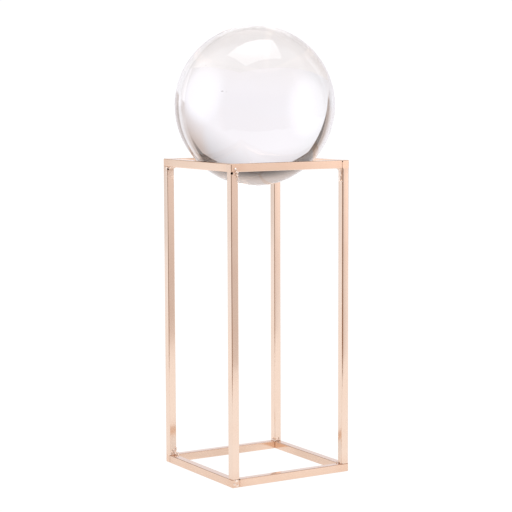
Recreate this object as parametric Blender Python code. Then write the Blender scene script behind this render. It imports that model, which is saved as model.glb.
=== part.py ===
"""A solid glass ball resting on an open square stand of welded rose-gold bar.

Metres, +Z up. The stand is centred on the origin, its underside is at z = 0, its front is -Y
and its right side is +X. Two square frames of four rails each lie flat, one on the ground and
one at the top, and four posts stand between them. The ball lies loose in the top frame.
"""

import math

import bmesh
import bpy

# Driving dimensions
BALL_DIAMETER = 0.120
STAND_WIDTH = 0.1016  # outside, the same both ways
STAND_HEIGHT = 0.235  # from the ground to the top of the top rails
BAR = 0.006  # side of the square bar that the whole stand is cut from
BAR_EDGE = 0.0005  # radius along the four long edges of the bar
SEAM = 0.0003  # clearance at every butt joint and where the ball bears on the rails

# Fineness of the round forms
BALL_MERIDIANS = 64
BALL_PARALLELS = 32
EDGE_SEGMENTS = 2
SHARP_ANGLE = math.radians(50)

# Colour with alpha, roughness and metallic value of each material
GLASS = ((0.97, 0.97, 0.98, 1.0), 0.02, 0.0)
GLASS_IOR = 1.5
ROSE_GOLD = ((0.86, 0.62, 0.50, 1.0), 0.30, 1.0)

# The four sides of the stand in turn, each with the corner where it starts
SIDES = (
    ("front", "front_left"),
    ("right", "front_right"),
    ("back", "back_right"),
    ("left", "back_left"),
)
QUARTER_TURN = math.radians(90)


def clear_scene():
    for obj in list(bpy.data.objects):
        bpy.data.objects.remove(obj, do_unlink=True)


def new_material(name, look):
    colour, roughness, metallic = look
    material = bpy.data.materials.new(name)
    material.use_nodes = True
    shader = material.node_tree.nodes["Principled BSDF"]
    shader.inputs["Base Color"].default_value = colour
    shader.inputs["Roughness"].default_value = roughness
    shader.inputs["Metallic"].default_value = metallic
    return material


def new_glass(name):
    material = new_material(name, GLASS)
    shader = material.node_tree.nodes["Principled BSDF"]
    shader.inputs["Transmission Weight"].default_value = 1.0
    shader.inputs["IOR"].default_value = GLASS_IOR
    return material


def mesh_from(name, bm, material):
    mesh = bpy.data.meshes.new(name)
    bm.to_mesh(mesh)
    bm.free()
    mesh.materials.append(material)
    mesh.shade_smooth()
    return mesh


def ball_mesh(material):
    bm = bmesh.new()
    bmesh.ops.create_uvsphere(
        bm,
        u_segments=BALL_MERIDIANS,
        v_segments=BALL_PARALLELS,
        radius=BALL_DIAMETER / 2,
    )
    return mesh_from("glass_ball", bm, material)


def bar_mesh(name, length, material):
    """A piece of square bar along X, centred, with rounded long edges and square-cut ends."""
    bm = bmesh.new()
    bmesh.ops.create_cube(bm, size=1.0)
    long_edges = [edge for edge in bm.edges if abs(edge.verts[0].co.x - edge.verts[1].co.x) > 0.5]
    bmesh.ops.scale(bm, vec=(length, BAR, BAR), verts=bm.verts)
    bmesh.ops.bevel(
        bm,
        geom=long_edges,
        affect="EDGES",
        offset=BAR_EDGE,
        segments=EDGE_SEGMENTS,
        profile=0.5,
        material=-1,
    )
    mesh = mesh_from(name, bm, material)
    mesh.set_sharp_from_angle(angle=SHARP_ANGLE)
    return mesh


def place(name, mesh, parent, location, rotation=(0, 0, 0)):
    obj = bpy.data.objects.new(name, mesh)
    obj.parent = parent
    obj.location = location
    obj.rotation_euler = rotation
    parent.users_collection[0].objects.link(obj)
    return obj


def ball_centre_height():
    """Where the ball bears on the rounded inner top edges of the top rails, at their middles."""
    reach = BALL_DIAMETER / 2 + SEAM + BAR_EDGE
    edge_from_axis = STAND_WIDTH / 2 - BAR + BAR_EDGE
    return STAND_HEIGHT - BAR_EDGE + math.sqrt(reach**2 - edge_from_axis**2)


def add_stand(stand, plating):
    """The same three bars four times round: a bottom rail, a top rail and the post at the side's
    first corner. Each rail is a bar's width short of one corner, where it butts against the side
    of its neighbour. The bottom rails stop short of their first corner, the top rails of their
    last, and the posts stand between the two frames."""
    rail = bar_mesh("rail", STAND_WIDTH - BAR - SEAM, plating)
    post = bar_mesh("post", STAND_HEIGHT - 2 * (BAR + SEAM), plating)
    bar_from_axis = (STAND_WIDTH - BAR) / 2
    off_centre = (BAR + SEAM) / 2
    for turn, (side, first_corner) in enumerate(SIDES):
        hub = place(f"{side}_side", None, stand, (0, 0, 0), (0, 0, turn * QUARTER_TURN))
        place(f"bottom_rail_{side}", rail, hub, (off_centre, -bar_from_axis, BAR / 2))
        place(f"top_rail_{side}", rail, hub, (-off_centre, -bar_from_axis, STAND_HEIGHT - BAR / 2))
        corner = (-bar_from_axis, -bar_from_axis, STAND_HEIGHT / 2)
        place(f"post_{first_corner}", post, hub, corner, (0, -QUARTER_TURN, 0))


def build():
    clear_scene()
    collection = bpy.data.collections.new("glass_ball_on_stand")
    bpy.context.scene.collection.children.link(collection)
    stand = bpy.data.objects.new("stand", None)
    collection.objects.link(stand)
    add_stand(stand, new_material("rose_gold_plating", ROSE_GOLD))
    place("glass_ball", ball_mesh(new_glass("clear_glass")), stand, (0, 0, ball_centre_height()))


build()
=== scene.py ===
import math

import bmesh
import bpy
from mathutils import Matrix, Vector, noise


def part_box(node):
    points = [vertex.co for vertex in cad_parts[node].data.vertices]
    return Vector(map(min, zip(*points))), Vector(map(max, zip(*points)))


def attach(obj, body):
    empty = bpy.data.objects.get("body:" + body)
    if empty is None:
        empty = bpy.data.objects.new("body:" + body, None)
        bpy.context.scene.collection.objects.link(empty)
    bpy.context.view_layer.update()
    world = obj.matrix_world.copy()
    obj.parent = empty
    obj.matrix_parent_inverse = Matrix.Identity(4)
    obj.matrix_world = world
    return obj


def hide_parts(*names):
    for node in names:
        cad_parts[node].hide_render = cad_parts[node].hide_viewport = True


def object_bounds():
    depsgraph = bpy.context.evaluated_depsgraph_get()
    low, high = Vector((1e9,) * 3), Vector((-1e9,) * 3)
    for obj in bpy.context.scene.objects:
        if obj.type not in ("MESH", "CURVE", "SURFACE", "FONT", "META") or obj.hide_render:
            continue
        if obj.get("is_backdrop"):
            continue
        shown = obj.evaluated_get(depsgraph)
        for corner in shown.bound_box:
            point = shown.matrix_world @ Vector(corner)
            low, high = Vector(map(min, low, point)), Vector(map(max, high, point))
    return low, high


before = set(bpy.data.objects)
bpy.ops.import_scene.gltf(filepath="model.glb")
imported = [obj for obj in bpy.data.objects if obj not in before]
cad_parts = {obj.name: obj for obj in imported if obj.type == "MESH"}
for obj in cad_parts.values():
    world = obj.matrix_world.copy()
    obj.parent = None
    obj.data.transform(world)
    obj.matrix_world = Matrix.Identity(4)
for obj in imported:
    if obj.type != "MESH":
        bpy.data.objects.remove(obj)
cad_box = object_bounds()


# The twelve bars of the stand
# Each is a length of 6 mm square steel bar, drawn with softly rounded edges and sawn square at
# the ends. The stand was welded, dressed and polished, and then plated all over in rose gold.
EDGE_RADIUS = 0.00065
ROUNDER_EDGES = {"post_front_right": 0.00105}
EDGE_STEPS = 4
SAWN_EDGE = 0.00004
SAWN_STEPS = 2
SHARP_ANGLE = math.radians(40)
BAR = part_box("top_rail_front")[1].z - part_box("top_rail_front")[0].z
HALF_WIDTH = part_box("bottom_rail_front")[1].x
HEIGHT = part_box("top_rail_front")[1].z
JOINT_REACH = 0.013
BARS = [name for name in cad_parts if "rail" in name or name.startswith("post")]

# The plate of each group of bars, by the axis they lie along, from its pinker to its paler patches
# The groups differ by painted light and shade: lighter on the top rails, darker on the bottom rails
PLATE_COLOURS_AND_SHADE = {
    ("post", 2): ((0.890, 0.708, 0.578, 1.0), (0.905, 0.738, 0.612, 1.0)),
    ("top_rail", 0): ((0.935, 0.718, 0.560, 1.0), (0.950, 0.744, 0.592, 1.0)),
    ("top_rail", 1): ((0.960, 0.728, 0.560, 1.0), (0.975, 0.752, 0.588, 1.0)),
    ("bottom_rail", 0): ((0.872, 0.650, 0.503, 1.0), (0.888, 0.674, 0.530, 1.0)),
    ("bottom_rail", 1): ((0.835, 0.622, 0.482, 1.0), (0.850, 0.646, 0.508, 1.0)),
}
# Copper for the random freckles and bead mottle, and for the painted shade round the joints
COPPERY_GOLD_AND_SHADE = (0.780, 0.500, 0.345, 1.0)
# painted shade: near black inside the pinholes
PIT_SHADE = (0.020, 0.010, 0.007, 1.0)
PIT_ROUGHNESS = 0.6
DUST = (0.520, 0.480, 0.500, 1.0)
DUST_COVER = 0.2

# How close the polishing lines lie across a bar, and how seldom they change along it
LINES_ACROSS = 1400.0
LINES_ALONG = 22.0

# Pinholes, which gas left in the welds and the polishing laid open: place and radius
PITS = (
    (Vector((-0.04995, -0.05060, 0.22820)), 0.00085),
    (Vector((-0.05000, 0.04460, 0.22700)), 0.00075),
    (Vector((0.04480, -0.05065, 0.23420)), 0.00050),
    (Vector((-0.04465, -0.05070, 0.00590)), 0.00055),
    (Vector((0.04490, -0.05075, 0.00625)), 0.00045),
    (Vector((0.05060, 0.04470, 0.22890)), 0.00050),
    (Vector((-0.04470, 0.05060, 0.00600)), 0.00050),
)


class Shade:
    """One output of a shader node. Sums on it add Math nodes to the same tree."""

    def __init__(self, tree, socket=None):
        self.tree = tree
        self.socket = socket

    def node(self, kind, settings=None, inputs=None, output=0):
        made = self.tree.nodes.new("ShaderNode" + kind)
        for name, value in (settings or {}).items():
            setattr(made, name, value)
        for name, value in (inputs or {}).items():
            if isinstance(value, Shade):
                self.tree.links.new(value.socket, made.inputs[name])
            else:
                made.inputs[name].default_value = value
        return Shade(self.tree, made.outputs[output] if len(made.outputs) else None)

    def maths(self, operation, *values):
        return self.node("Math", {"operation": operation}, dict(enumerate(values)))

    def __add__(self, other):
        return self.maths("ADD", self, other)

    def __radd__(self, other):
        return self.maths("ADD", other, self)

    def __sub__(self, other):
        return self.maths("SUBTRACT", self, other)

    def __rsub__(self, other):
        return self.maths("SUBTRACT", other, self)

    def __mul__(self, other):
        return self.maths("MULTIPLY", self, other)

    def __rmul__(self, other):
        return self.maths("MULTIPLY", other, self)

    def __truediv__(self, other):
        return self.maths("DIVIDE", self, other)

    def __pow__(self, other):
        return self.maths("POWER", self, other)

    def size(self):
        return self.maths("ABSOLUTE", self)

    def least(self, other):
        return self.maths("MINIMUM", self, other)

    def most(self, other):
        return self.maths("MAXIMUM", self, other)

    def ramp(self, start, end, low=0.0, high=1.0):
        """Runs smoothly from low to high as the value goes from start to end."""
        values = dict(enumerate((self, start, end, low, high)))
        return self.node("MapRange", {"interpolation_type": "SMOOTHSTEP"}, values)

    def blend(self, first, second):
        """The first colour where this value is 0 and the second where it is 1."""
        return self.node("Mix", {"data_type": "RGBA"}, {0: self, 6: first, 7: second}, output=2)


def new_material(name):
    material = bpy.data.materials.new(name)
    material.use_nodes = True
    material.node_tree.nodes.clear()
    return material, Shade(material.node_tree)


def distance_from_corner(shade, place):
    """How far a point is from the middle of the nearest of the stand's eight corners."""
    across, upward = HALF_WIDTH - BAR / 2, HEIGHT / 2 - BAR / 2
    sides = []
    for axis, corner_middle in enumerate((across, across, upward)):
        side = shade.node("SeparateXYZ", {}, {"Vector": place}, output=axis)
        if axis == 2:
            side = side - HEIGHT / 2
        sides.append((side.size() - corner_middle) ** 2)
    return (sides[0] + sides[1] + sides[2]) ** 0.5


def painted_pit_shade(shade, place):
    """1 in the pinholes, 0 elsewhere: where near black is painted in as the shade inside them."""
    pit_shade_mask = None
    for middle, radius in PITS:
        ends = {0: place, 1: middle}
        away = shade.node("VectorMath", {"operation": "DISTANCE"}, ends, output="Value")
        hole = away.ramp(radius * 1.25, radius * 0.95)
        pit_shade_mask = hole if pit_shade_mask is None else pit_shade_mask.most(hole)
    return pit_shade_mask


def plating(name, along, colours):
    """Polished rose-gold plate on a bar that runs along the axis with that number. The polishing
    lines follow the bar, and the plate is painted coppery and less bright round the joints, as
    shade where the bars meet and reflect each other."""
    material, shade = new_material(name)
    place = shade.node("TexCoord", output="Object")
    drawn = [LINES_ACROSS, LINES_ACROSS, LINES_ACROSS]
    drawn[along] = LINES_ALONG
    stretched = shade.node("Mapping", {}, {"Vector": place, "Scale": drawn})
    lines = shade.node("TexNoise", {}, {"Vector": stretched, "Scale": 1.0, "Detail": 3.0})
    patches = shade.node("TexNoise", {}, {"Vector": place, "Scale": 55.0, "Detail": 4.0})
    waves = shade.node("TexNoise", {}, {"Vector": place, "Scale": 70.0, "Detail": 1.0})
    freckles = shade.node("TexNoise", {}, {"Vector": place, "Scale": 900.0, "Detail": 2.0})
    # painted shade: darker and more coppery round the joints, where the bars meet
    joint_shade = distance_from_corner(shade, place).ramp(JOINT_REACH, BAR / 2)
    joint_shade = joint_shade * patches.ramp(0.3, 0.7, 0.25, 1.0)
    pit_shade_mask = painted_pit_shade(shade, place)
    colour = (patches.ramp(0.3, 0.7) * 0.75 + lines * 0.25).blend(*colours)
    colour = (joint_shade * 0.30 + freckles.ramp(0.66, 0.78) * 0.22).blend(colour, COPPERY_GOLD_AND_SHADE)
    # a little dust on the upper faces of the bottom rails
    height = shade.node("SeparateXYZ", {}, {"Vector": place}, output=2)
    dust = height.ramp(BAR - 0.0003, BAR - 0.0001) * height.ramp(BAR + 0.0002, BAR + 0.0001)
    colour = (dust * DUST_COVER).blend(colour, DUST)
    # the pinholes painted near black, as shade
    colour = pit_shade_mask.blend(colour, PIT_SHADE)
    relief = lines * 0.12 + waves + freckles.ramp(0.72, 0.62) * joint_shade * 0.2
    bump = shade.node("Bump", {}, {"Strength": 0.10, "Distance": 0.0004, "Height": relief})
    surface = shade.node("BsdfPrincipled", {}, {
        "Base Color": colour,
        "Metallic": 1.0,
        "Roughness": 0.08 + lines * 0.04 + patches * 0.04 + joint_shade * 0.08 + pit_shade_mask * PIT_ROUGHNESS,
        "Normal": bump,
    })
    shade.node("OutputMaterial", {}, {"Surface": surface})
    return material


def placed(name, bm, material=None):
    """Makes the bmesh an object in the scene."""
    mesh = bpy.data.meshes.new(name)
    bm.to_mesh(mesh)
    bm.free()
    if material:
        mesh.materials.append(material)
    made = bpy.data.objects.new(name, mesh)
    bpy.context.scene.collection.objects.link(made)
    return made


def finished(name, bm, material):
    """Makes the bmesh a piece of the object, which rides on its only body."""
    piece = placed(name, bm, material)
    piece.data.shade_smooth()
    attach(piece, "root")
    return piece


def edges_along(bm, axis, length):
    """The edges that run along one axis for nearly that length."""
    found = []
    for edge in bm.edges:
        run = edge.verts[0].co - edge.verts[1].co
        if abs(run[axis]) > 0.9 * length:
            found.append(edge)
    return found


def outside_edges(bm):
    """The edges that lie on two of the stand's outer planes, which the polishing wheel rounds."""
    found = []
    for edge in bm.edges:
        middle = (edge.verts[0].co + edge.verts[1].co) / 2
        from_planes = (
            HALF_WIDTH - abs(middle.x),
            HALF_WIDTH - abs(middle.y),
            min(middle.z, HEIGHT - middle.z),
        )
        if sum(gap < SAWN_EDGE for gap in from_planes) > 1:
            found.append(edge)
    return found


def rounded(bm, edges, radius, steps):
    bmesh.ops.bevel(
        bm, geom=edges, affect="EDGES", offset=radius, segments=steps, profile=0.5, material=-1
    )


def bar_mesh(low, high, along, edge_radius):
    """A bar with rounded long edges and finely broken edges at its ends."""
    size = high - low
    bm = bmesh.new()
    box = Matrix.Translation((low + high) / 2) @ Matrix.Diagonal((*size, 1.0))
    bmesh.ops.create_cube(bm, size=1.0, matrix=box)
    polished = set(edges_along(bm, along, size[along])) | set(outside_edges(bm))
    rounded(bm, [edge for edge in bm.edges if edge in polished], edge_radius, EDGE_STEPS)
    bm.normal_update()
    sawn = [edge for edge in bm.edges if edge.calc_face_angle(0.0) > SHARP_ANGLE]
    rounded(bm, sawn, SAWN_EDGE, SAWN_STEPS)
    return bm


def cut_pits(piece, low, high):
    """Sinks the pinholes that lie within reach of the piece into its surface."""
    near = []
    for middle, radius in PITS:
        if all(low[axis] - radius < middle[axis] < high[axis] + radius for axis in range(3)):
            near.append((middle, radius))
    if not near:
        return
    bm = bmesh.new()
    for middle, radius in near:
        pit_place = Matrix.Translation(middle)
        bmesh.ops.create_icosphere(bm, subdivisions=3, radius=radius, matrix=pit_place)
    pits = placed("pits", bm)
    cut = piece.modifiers.new("pits", "BOOLEAN")
    cut.operation = "DIFFERENCE"
    cut.solver = "EXACT"
    cut.object = pits
    bpy.context.view_layer.update()
    graph = bpy.context.evaluated_depsgraph_get()
    pitted = bpy.data.meshes.new_from_object(piece.evaluated_get(graph))
    piece.modifiers.remove(cut)
    piece.data = pitted
    bpy.data.meshes.remove(pits.data)


def plated_metal(name, low, high, along, material, edge_radius=EDGE_RADIUS):
    mesh = bar_mesh(low, high, along, edge_radius)
    piece = finished(name, mesh, material)
    cut_pits(piece, low, high)
    piece.data.set_sharp_from_angle(angle=SHARP_ANGLE)
    flat = piece.modifiers.new("flat_faces", "WEIGHTED_NORMAL")
    flat.keep_sharp = True
    return piece


# one plate material for each group of bars, each carrying its painted light and shade
shaded_plates = {}
for (bar_group, axis), colours in PLATE_COLOURS_AND_SHADE.items():
    shaded_plates[bar_group, axis] = plating(f"rose_gold_{bar_group}_{'xyz'[axis]}", axis, colours)
for bar in BARS:
    low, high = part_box(bar)
    along = max(range(3), key=lambda axis: high[axis] - low[axis])
    bar_group = next(name for name, axis in PLATE_COLOURS_AND_SHADE if bar.startswith(name))
    radius = ROUNDER_EDGES.get(bar, EDGE_RADIUS)
    plated = plated_metal(f"{bar}_plated", low, high, along, shaded_plates[bar_group, along], radius)
    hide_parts(bar)


# The butt joints
# The weld metal that fills each joint between two bars, ground flush and plated over. It shows
# as a fine line, or as a dark slot where the weld didn't reach the surface.
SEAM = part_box("post_front_left")[0].z - BAR
FILL_OVERLAP = 0.0001
FLUSH = 0.000012
SUNK = 0.0007
INSIDE = HALF_WIDTH - BAR
CORNERS = ("front_left", "front_right", "back_right", "back_left")
# The turn that takes the front left corner to each of them
QUARTERS = [Matrix.Rotation(math.radians(90 * corner), 3, "Z") for corner in range(len(CORNERS))]
SUNK_JOINTS = (
    "top_rails_front_right",
    "bottom_rails_front_left",
    "bottom_post_front_left",
    "bottom_post_front_right",
    "bottom_rails_back_left",
    "bottom_rails_back_right",
)


def joint_boxes():
    """The four gaps at the front left corner: name, lowest and highest corner, thin axis."""
    for level, rail_low, thin in (("top", HEIGHT - BAR, 1), ("bottom", 0.0, 0)):
        low = Vector((-HALF_WIDTH, -HALF_WIDTH, rail_low))
        high = Vector((-INSIDE, -INSIDE, rail_low + BAR))
        low[thin] = -INSIDE
        high[thin] = -INSIDE + SEAM
        yield f"{level}_rails", low, high, thin
    for level, seam_low in (("top", HEIGHT - BAR - SEAM), ("bottom", BAR)):
        low = Vector((-HALF_WIDTH, -HALF_WIDTH, seam_low))
        yield f"{level}_post", low, Vector((-INSIDE, -INSIDE, seam_low + SEAM)), 2


for corner, corner_name in enumerate(CORNERS):
    for joint, low, high, thin in joint_boxes():
        name = f"{joint}_{corner_name}"
        depth = SUNK if name in SUNK_JOINTS else FLUSH
        inset = Vector((depth, depth, depth))
        inset[thin] = -FILL_OVERLAP
        ends = (QUARTERS[corner] @ (low + inset), QUARTERS[corner] @ (high - inset))
        turned_low = Vector(map(min, *ends))
        turned_high = Vector(map(max, *ends))
        along = thin if thin == 2 or corner % 2 == 0 else 1 - thin
        plated_metal(f"{name}_fill", turned_low, turned_high, along, shaded_plates["post", 2])


# The weld beads
# Small beads left standing in the inner corners of the joints, where the wheel couldn't reach.
# They were only brushed before plating, so they are lumpy and coppery.
# Their pale gold is a painted highlight, and the lower beads are painted more coppery, as shade.
BEAD_STEPS = 3
BEAD_VOXEL = 0.00016
BEAD_RIPPLES = 2.2
BEAD_SWELL = 0.22
BEAD_CHANGE = 0.25
MILLIMETRE = 0.001
# painted highlight: the beads' gold is paler than the plate, standing in for their highlights
BEAD_GOLD_HIGHLIT = (0.985, 0.860, 0.760, 1.0)


def bead_plate(name, copper_range):
    """Duller plate, mottled from a pale gold, painted paler than the plate as highlight, to copper
    over the given range of its noise; the more copper the range gives, the more shade is painted.
    """
    material, shade = new_material(name)
    place = shade.node("TexCoord", output="Object")
    mottle = shade.node("TexNoise", {}, {"Vector": place, "Scale": 700.0, "Detail": 3.0})
    # the pinholes are painted near black, as shade
    pit_shade_mask = painted_pit_shade(shade, place)
    colour = mottle.ramp(*copper_range).blend(BEAD_GOLD_HIGHLIT, COPPERY_GOLD_AND_SHADE)
    bump = shade.node("Bump", {}, {"Strength": 0.15, "Distance": 0.0003, "Height": mottle})
    surface = shade.node("BsdfPrincipled", {}, {
        "Base Color": pit_shade_mask.blend(colour, PIT_SHADE),
        "Metallic": 1.0,
        "Roughness": 0.24 + mottle * 0.14 + pit_shade_mask * PIT_ROUGHNESS,
        "Normal": bump,
    })
    shade.node("OutputMaterial", {}, {"Surface": surface})
    return material


def add_bead(bm, middle, half_size, seed):
    """One lump of weld metal, rippled as the rod was fed."""
    made = bmesh.ops.create_icosphere(bm, subdivisions=BEAD_STEPS, radius=1.0)
    shift = Vector((seed * 3.7, seed * 1.3, 0))
    for vert in made["verts"]:
        swell = 1 + BEAD_SWELL * noise.noise(vert.co * BEAD_RIPPLES + shift)
        vert.co = middle + Vector([vert.co[axis] * half_size[axis] * swell for axis in range(3)])


# Lumps at the front left corner, as (place, half size) in millimetres from the corner's outer
# edge and from the level of the joint between post and rails. Each corner has them turned round
# with the corner, and a little different.
TOP_BEADS = (
    ((6.1, 2.4, -0.6), (0.75, 2.1, 0.80)),
    ((6.0, 4.6, -0.7), (0.85, 1.5, 0.95)),
    ((2.6, 6.1, -0.4), (2.2, 0.80, 0.75)),
    ((4.9, 6.2, -0.7), (1.2, 0.85, 0.90)),
    ((6.4, 6.4, 1.6), (0.80, 0.80, 2.9)),
)
BOTTOM_BEADS = (
    ((6.1, 2.2, 0.5), (0.85, 1.6, 0.75)),
    ((6.3, 4.4, 0.7), (1.0, 1.5, 1.0)),
    ((2.0, 6.1, 0.5), (1.5, 0.80, 0.75)),
    ((4.2, 6.3, 0.7), (1.6, 1.0, 1.0)),
    ((6.4, 6.5, 0.5), (1.1, 1.1, 1.2)),
)
BEAD_GROWTH = {"bottom_front_right": 0.5, "bottom_back_right": 0.85, "bottom_back_left": 1.15}

# The further lumps that one corner alone has
OWN_BEADS = {
    "bottom_back_left": (
        ((6.0, 1.5, 1.8), (0.65, 0.95, 1.0)),
        ((6.1, 3.4, 3.0), (0.75, 1.2, 1.3)),
        ((6.0, 5.2, 4.6), (0.75, 1.0, 1.2)),
    ),
    "bottom_back_right": (
        ((2.0, 6.1, 2.0), (1.1, 0.75, 1.0)),
        ((6.2, 4.4, 1.8), (0.80, 1.1, 1.0)),
    ),
    "top_front_left": (
        ((3.7, 0.0, 2.1), (1.50, 1.30, 1.05)),
        ((4.5, 0.0, 0.1), (1.70, 1.45, 1.05)),
        ((4.7, 0.0, -2.0), (1.45, 1.35, 1.05)),
        ((5.0, 0.0, -4.1), (1.25, 1.15, 1.05)),
        ((5.1, 0.15, -6.2), (0.85, 0.75, 1.00)),
    ),
    "top_back_left": (
        ((5.1, 0.1, -1.4), (0.90, 0.60, 1.0)),
        ((4.9, 0.0, -4.0), (0.80, 0.45, 1.3)),
    ),
    "top_front_right": (
        ((2.6, 6.1, -3.2), (1.6, 0.75, 2.9)),
        ((3.0, 6.2, -7.2), (1.5, 0.65, 2.4)),
        ((0.9, 6.0, -9.6), (0.9, 0.50, 0.9)),
    ),
    "bottom_front_left": (
        ((3.2, 0.10, -0.9), (1.50, 0.35, 1.00)),
        ((1.9, 0.10, -3.2), (1.20, 0.35, 1.00)),
        ((4.2, 0.10, -4.3), (1.30, 0.30, 0.90)),
    ),
}
# The upper beads keep more pale gold as painted highlight; the lower ones turn more coppery, as
# painted shade
bead_finishes = {
    "top": bead_plate("highlit_rose_gold_beads", (0.55, 0.85)),
    "bottom": bead_plate("shaded_coppery_beads", (0.40, 0.80)),
}
for corner, corner_name in enumerate(CORNERS):
    for level, joint_height, beads in (
        ("top", HEIGHT - BAR, TOP_BEADS),
        ("bottom", BAR, BOTTOM_BEADS),
    ):
        bm = bmesh.new()
        place_name = f"{level}_{corner_name}"
        for number, (place, half_size) in enumerate(beads + OWN_BEADS.get(place_name, ())):
            seed = corner * 20 + number + (10 if level == "top" else 0)
            change = 1 + BEAD_CHANGE * noise.noise(Vector((seed * 2.3, 0.5, 0.5)))
            change *= BEAD_GROWTH.get(place_name, 1)
            middle = Vector(place) * MILLIMETRE + Vector((-HALF_WIDTH, -HALF_WIDTH, joint_height))
            add_bead(bm, middle, Vector(half_size) * MILLIMETRE * change, seed)
        bmesh.ops.rotate(bm, cent=(0, 0, 0), matrix=QUARTERS[corner], verts=bm.verts)
        weld = finished(f"{place_name}_weld", bm, bead_finishes[level])
        merged = weld.modifiers.new("one_bead", "REMESH")
        merged.mode = "VOXEL"
        merged.voxel_size = BEAD_VOXEL
        merged.use_smooth_shade = True


# The glass ball
# One solid ball of clear optical glass, ground and polished, with a few seeds of trapped gas.
# It lies loose in the mouth of the top frame.
GLASS_INDEX = 1.5
BALL_MERIDIANS = 256
BALL_PARALLELS = 160
ball_low, ball_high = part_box("glass_ball")
BALL_MIDDLE = (ball_low + ball_high) / 2
BALL_RADIUS = (ball_high.z - ball_low.z) / 2


def clear_as_glass(name, index):
    """Lets all light through and bends it by the index."""
    material, shade = new_material(name)
    surface = shade.node("BsdfPrincipled", {}, {
        "Base Color": (1.0, 1.0, 1.0, 1.0),
        "Roughness": 0.0,
        "IOR": index,
        "Transmission Weight": 1.0,
    })
    shade.node("OutputMaterial", {}, {"Surface": surface})
    return material


glass = clear_as_glass("clear_glass", GLASS_INDEX)
bm = bmesh.new()
bmesh.ops.create_uvsphere(
    bm,
    u_segments=BALL_MERIDIANS,
    v_segments=BALL_PARALLELS,
    radius=BALL_RADIUS,
    matrix=Matrix.Translation(BALL_MIDDLE),
)
ball = finished("polished_glass_ball", bm, glass)
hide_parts("glass_ball")


# The seeds in the glass
# A few small bubbles of gas that the molten glass kept as it cooled. The largest, a flat one, is
# a grey fleck near the left side. Light bends the other way as it goes from glass into gas.
GAS_IN_GLASS = 1 / GLASS_INDEX
SEEDS = (
    (Vector((-0.0430, -0.0280, 0.2857)), Vector((0.00095, 0.00095, 0.00024))),
    (Vector((-0.0412, -0.0304, 0.2852)), Vector((0.00022, 0.00022, 0.00020))),
    (Vector((0.0105, -0.0120, 0.2640)), Vector((0.00016, 0.00016, 0.00016))),
    (Vector((-0.0120, 0.0230, 0.2930)), Vector((0.00018, 0.00018, 0.00018))),
    (Vector((0.0270, 0.0090, 0.2520)), Vector((0.00014, 0.00014, 0.00014))),
)
gas = clear_as_glass("gas_in_glass", GAS_IN_GLASS)
bm = bmesh.new()
for middle, half_size in SEEDS:
    seed_place = Matrix.Translation(middle) @ Matrix.Diagonal((*half_size, 1.0))
    bmesh.ops.create_icosphere(bm, subdivisions=4, radius=1.0, matrix=seed_place)
finished("seeds_in_glass", bm, gas)


# The studio
# A white table without its corner nearest the camera, a soft lamp above it, and a white tent
# that is dim towards the camera. Lamp and tent show in the glass and the metal alone.
TABLE_LEFT, TABLE_RIGHT = -0.445, 0.62
TABLE_FRONT, TABLE_BACK = -0.48, 0.80
TABLE_CORNER = 0.41
TABLE_PAINT = 0.12
TABLE_GLOW = 0.80
TABLE_WHITE = (1.0, 0.968, 0.973)
PAPER_GLOW = 1.05
TENT_RADIUS = 1.3
TENT_MERIDIANS = 96
TENT_PARALLELS = 48
LAMP_MIDDLE = Vector((-0.048, -0.118, 1.28))
LAMP_SIZE = (0.93, 0.66)
LAMP_TURN = math.radians(-3)
LAMP_EDGE = 2.9
LAMP_CORE = 1.5
LAMP_BRIGHTEST = LAMP_MIDDLE + Vector((0.02, 0.14, 0))

# The tints of the tent: where it is dark, where it is light, on the back wall and that wall's
# left end, low on the left wall, low in the room behind the camera, and above that on its right
DARK_TINT = (1.0, 0.775, 0.665, 1.0)
LIGHT_TINT = (1.0, 0.972, 1.003, 1.0)
BACK_TINT = (1.006, 0.983, 1.034, 1.0)
BACK_LEFT_TINT = (0.972, 0.966, 1.005, 1.0)
LEFT_TINT = (0.955, 0.965, 1.015, 1.0)
ROOM_TINT = (1.0, 0.580, 0.370, 1.0)
ROOM_RIGHT_TINT = (1.0, 0.895, 0.875, 1.0)

CAMERA_TURN = math.radians(-31.26)
CAMERA_RISE = math.radians(6.04)
CAMERA_ROLL = math.radians(-0.20)
CAMERA_DISTANCE = 1.2514
CAMERA_AIM_RIGHT = 0.0005
CAMERA_AIM_HEIGHT = 0.1619
CAMERA_LENS = 116.44
CAMERA_FILM = 36.0


def seen_from_ball(shade):
    """The turn and rise of a point in degrees, from the back of the ball. The turn is round from
    straight behind the stand as the camera sees it, and the rise is above the level."""
    place = shade.node("TexCoord", output="Object")
    from_camera = Vector((-math.sin(CAMERA_TURN), math.cos(CAMERA_TURN), 0))
    ball_back = BALL_MIDDLE + from_camera * BALL_RADIUS
    way = shade.node("VectorMath", {"operation": "SUBTRACT"}, {0: place, 1: ball_back})
    ahead = shade.node("VectorMath", {"operation": "NORMALIZE"}, {0: way})
    facing = {"Vector": ahead, "Angle": -CAMERA_TURN}
    split = {"Vector": shade.node("VectorRotate", {"rotation_type": "Z_AXIS"}, facing)}
    across, away, upward = (shade.node("SeparateXYZ", {}, split, output=n) for n in range(3))
    turn = across.maths("ARCTAN2", across, away) * (180 / math.pi)
    return turn, upward.maths("ARCSINE", upward) * (180 / math.pi)


def glowing(shade, tint, light):
    """Ends the material as a light of that tint and strength."""
    colour = shade.node("VectorMath", {"operation": "SCALE"}, {0: tint, "Scale": light})
    glow = shade.node("Emission", {}, {"Color": colour, "Strength": 1.0})
    shade.node("OutputMaterial", {}, {"Surface": glow})


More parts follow.
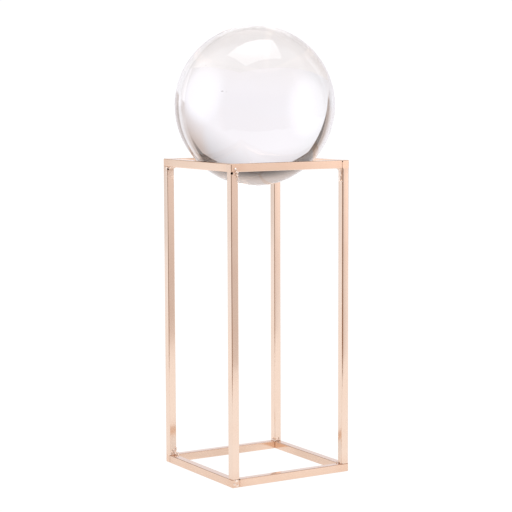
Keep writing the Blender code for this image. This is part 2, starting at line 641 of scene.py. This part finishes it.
def backlit_acrylic():
    """Plain white to the camera. In the glass and the metal it glows more at both sides and close
    behind the stand, and less at the far left and inside the foot, in the stand's own shade."""
    material, shade = new_material("backlit_acrylic")
    turn, rise = seen_from_ball(shade)
    at_sides = turn.size().ramp(14, 46)
    on_right = turn.ramp(8, 20) * turn.ramp(48, 36)
    far_left = rise.ramp(-38, -30) * turn.ramp(-26, -36) * turn.ramp(-72, -60)
    close_behind = rise.ramp(-46, -58) * turn.size().ramp(50, 30)
    glow = 1 + at_sides * 0.15 + rise.ramp(-40, -24) * (on_right * 0.05 + 0.03)
    glow = glow - far_left * 0.07 - turn.ramp(-56, -64) * 0.04 + close_behind * 0.13
    from_middle = shade.node("TexCoord", output="Object")
    reach = shade.node("VectorMath", {"operation": "LENGTH"}, {0: from_middle}, output="Value")
    glow = glow - reach.ramp(0.056, 0.040) * 0.12
    colour = shade.node("VectorMath", {"operation": "SCALE"}, {0: TABLE_WHITE, "Scale": glow})
    lit = shade.node("BsdfPrincipled", {}, {
        "Base Color": (TABLE_PAINT, TABLE_PAINT, TABLE_PAINT, 1.0),
        "Roughness": 1.0,
        "Specular IOR Level": 0.0,
        "Emission Color": colour,
        "Emission Strength": TABLE_GLOW,
    })
    plain = shade.node("Emission", {}, {"Color": (1, 1, 1, 1), "Strength": PAPER_GLOW})
    seen = shade.node("LightPath", output="Is Camera Ray")
    surface = shade.node("MixShader", {}, {0: seen, 1: lit, 2: plain})
    shade.node("OutputMaterial", {}, {"Surface": surface})
    return material


bm = bmesh.new()
table_size = (TABLE_RIGHT - TABLE_LEFT, TABLE_BACK - TABLE_FRONT, 1.0, 1.0)
table_place = ((TABLE_LEFT + TABLE_RIGHT) / 2, (TABLE_FRONT + TABLE_BACK) / 2, 0.0)
table_shape = Matrix.Translation(table_place) @ Matrix.Diagonal(table_size)
bmesh.ops.create_grid(bm, x_segments=1, y_segments=1, size=0.5, matrix=table_shape)
towards_camera = Vector((math.sin(CAMERA_TURN), -math.cos(CAMERA_TURN), 0))
bmesh.ops.bisect_plane(
    bm,
    geom=bm.verts[:] + bm.edges[:] + bm.faces[:],
    plane_co=towards_camera * TABLE_CORNER,
    plane_no=towards_camera,
    clear_outer=True,
)
table = placed("table", bm, backlit_acrylic())
table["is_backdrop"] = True


def lamp_cloth():
    """Brightest behind its middle."""
    material, shade = new_material("lamp_cloth")
    ends = {0: shade.node("TexCoord", output="Object"), 1: LAMP_BRIGHTEST}
    away = shade.node("VectorMath", {"operation": "DISTANCE"}, ends, output="Value")
    glowing(shade, (1.0, 1.0, 1.0), LAMP_EDGE + away.ramp(0.46, 0.12) * LAMP_CORE)
    return material


bm = bmesh.new()
lamp_shape = Matrix.Diagonal((*LAMP_SIZE, 1.0, 1.0))
lamp_place = Matrix.Translation(LAMP_MIDDLE) @ Matrix.Rotation(LAMP_TURN, 4, "Z") @ lamp_shape
bmesh.ops.create_grid(bm, x_segments=1, y_segments=1, size=0.5, matrix=lamp_place)
bmesh.ops.reverse_faces(bm, faces=bm.faces)
lamp = placed("overhead_lamp", bm, lamp_cloth())
lamp.visible_camera = False
lamp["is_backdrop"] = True


def bright_patch(turn, rise, middle, reach):
    """1 in the middle of an oval patch of the tent, fading to 0 at its edge."""
    across = (turn - middle[0]) / reach[0]
    upward = (rise - middle[1]) / reach[1]
    return (across ** 2 + upward ** 2).ramp(1.6, 0.3)


def back_wall_light(turn, rise):
    """Brighter at each end of the wall and shaded towards its top right corner."""
    left_patch = bright_patch(turn, rise, (-34, 0), (17, 16))
    right_patch = bright_patch(turn, rise, (31.5, -8), (15, 15))
    into_shade = (rise - 21 + turn.most(0) * 0.57).most(0).least(26)
    shaded = into_shade * (turn.ramp(-5, 32) * 0.003 + 0.0135)
    light = 0.960 + left_patch * 0.12 + right_patch * 0.10 - shaded
    return light + rise.ramp(-15, 12) * turn.ramp(5, -15) * 0.02


def left_wall_light(turn, rise):
    """Brighter towards the camera, and shaded above the floor where it meets the back wall."""
    light = (turn - rise.ramp(-3, -5) * 2.5).ramp(-53, -72, 0.62, 1.0)
    light = light + turn.ramp(-72, -92) * 0.06
    return light * (1 - rise.ramp(-8, -3) * turn.ramp(-60, -55) * 0.35)


def right_wall_light(turn, rise):
    """A bright strip beside the back wall, a dark fold, and then brighter up to a dimmer end."""
    light = turn.ramp(50, 60, 0.78, 0.95) - turn.ramp(61, 64) * 0.60
    light = light + turn.ramp(65, 72) * 0.13 + turn.ramp(76, 110) * 0.60
    light = light - turn.ramp(113.5, 120.5) * 0.32
    light = light + rise.ramp(1, -3) * turn.ramp(50, 56) * turn.ramp(75, 66) * 0.16
    light = light - turn.ramp(58, 50) * (rise - 8).most(0) * 0.012
    return light * (1 + turn.ramp(104, 112) * rise.ramp(-13, -4, -0.05, 0.17))


def light_round_back_wall(turn, rise, room):
    """The side walls, the dim room behind the camera, the white floor round the table, and the
    dark gaps beside the back wall and above all the walls. The upper one fades towards the lamp."""
    on_right = turn.ramp(-1, 1)
    light = left_wall_light(turn, rise) * (1 - on_right) + right_wall_light(turn, rise) * on_right
    light = light * (1 - room) + room * (rise.ramp(6, 24) * 0.44 + 0.28)

    floor_edge = ((-51.5 - turn) * 1.1).most((turn - 44) * 0.32).most(0).least(9)
    floor = (rise + floor_edge).ramp(-0.5, -2.5) * turn.size().ramp(112, 96)
    bright_ends = turn.size().ramp(40, 48) * turn.size().ramp(60, 54)
    light = light * (1 - floor) + floor * (bright_ends * 0.10 + 1.02)

    upper_gap = rise.ramp(38, 60, 0.04, 0.52) + turn.size().ramp(56, 75) * 0.45
    wall_top = turn.ramp(44, 52) * 5 + turn.ramp(-50, -85) * 10
    above = (rise - wall_top).ramp(30, 38)
    light = light * (1 - above) + upper_gap * above

    beside = turn.ramp(-52.2, -50.2) * turn.ramp(48, 46) * rise.ramp(-2, 0) * (1 - above)
    beside = beside * (0.72 * (1 - on_right) + rise.ramp(8, 40, 0.1, 1.0) * on_right)
    return light * (1 - beside)


def off_back_wall(turn, rise):
    """0 on the back wall and 1 past its slanting ends and its curved top."""
    past_left = (turn + 52.3 - rise * 0.40).ramp(0.7, -0.7)
    past_right = (turn - 48).most(turn - 56.2 + rise * 0.56).ramp(-0.7, 0.7)
    past_top = (rise + turn ** 2 * 0.0056).ramp(37.3, 38.7)
    return past_left.most(past_right).most(past_top)


def tent_cloth():
    """White walls behind and at both sides, dim ones towards the camera, and a dark gap between
    the walls and the lamp."""
    material, shade = new_material("tent_cloth")
    turn, rise = seen_from_ball(shade)
    room = turn.size().ramp(124, 142)
    outside = off_back_wall(turn, rise)
    inside = 1 - outside
    around = light_round_back_wall(turn, rise, room)
    light = back_wall_light(turn, rise) * inside + around * outside

    paleness = light.ramp(0.32, 1.05).most(inside * turn.ramp(43, 25) * 0.95)
    tint = paleness.blend(DARK_TINT, (rise.ramp(-22, -4) * inside).blend(LIGHT_TINT, BACK_TINT))
    tint = (turn.ramp(-20, -40) * inside).blend(tint, BACK_LEFT_TINT)
    left_cool = turn.ramp(-54, -60) * turn.ramp(-100, -80) * rise.ramp(5, -2) * 0.7
    tint = left_cool.blend(tint, LEFT_TINT)
    tint = (room * rise.ramp(1, -4)).blend(tint, ROOM_TINT)
    tint = (turn.ramp(104, 116) * rise.ramp(-14, -11)).blend(tint, ROOM_RIGHT_TINT)
    glowing(shade, tint, light)
    return material


bm = bmesh.new()
bmesh.ops.create_uvsphere(
    bm,
    u_segments=TENT_MERIDIANS,
    v_segments=TENT_PARALLELS,
    radius=TENT_RADIUS,
    matrix=Matrix.Translation(BALL_MIDDLE),
)
bmesh.ops.reverse_faces(bm, faces=bm.faces)
tent = placed("tent", bm, tent_cloth())
tent.visible_camera = False
tent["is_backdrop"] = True

world = bpy.data.worlds.new("white_paper")
world.use_nodes = True
paper = world.node_tree.nodes["Background"]
paper.inputs["Color"].default_value = (1.0, 1.0, 1.0, 1.0)
paper.inputs["Strength"].default_value = PAPER_GLOW
bpy.context.scene.world = world

# The camera stands where the photograph was taken from, level with the ball
sideways = Vector((math.cos(CAMERA_TURN), math.sin(CAMERA_TURN), 0))
backwards = Vector((
    math.sin(CAMERA_TURN) * math.cos(CAMERA_RISE),
    -math.cos(CAMERA_TURN) * math.cos(CAMERA_RISE),
    math.sin(CAMERA_RISE),
))
upwards = backwards.cross(sideways)
turned = Matrix((sideways, upwards, backwards)).transposed()
turned = turned @ Matrix.Rotation(CAMERA_ROLL, 3, "Z")
aim = Vector((0, 0, CAMERA_AIM_HEIGHT)) + sideways * CAMERA_AIM_RIGHT
camera_data = bpy.data.cameras.new("camera")
camera_data.lens = CAMERA_LENS
camera_data.sensor_width = CAMERA_FILM
camera = bpy.data.objects.new("camera", camera_data)
camera.matrix_world = Matrix.Translation(aim + backwards * CAMERA_DISTANCE) @ turned.to_4x4()
bpy.context.scene.collection.objects.link(camera)
bpy.context.scene.camera = camera
bpy.context.scene.view_settings.view_transform = "Standard"

boxes = {"cad": cad_box, "visual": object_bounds()}
{name: [list(corner) for corner in box] for name, box in boxes.items()}
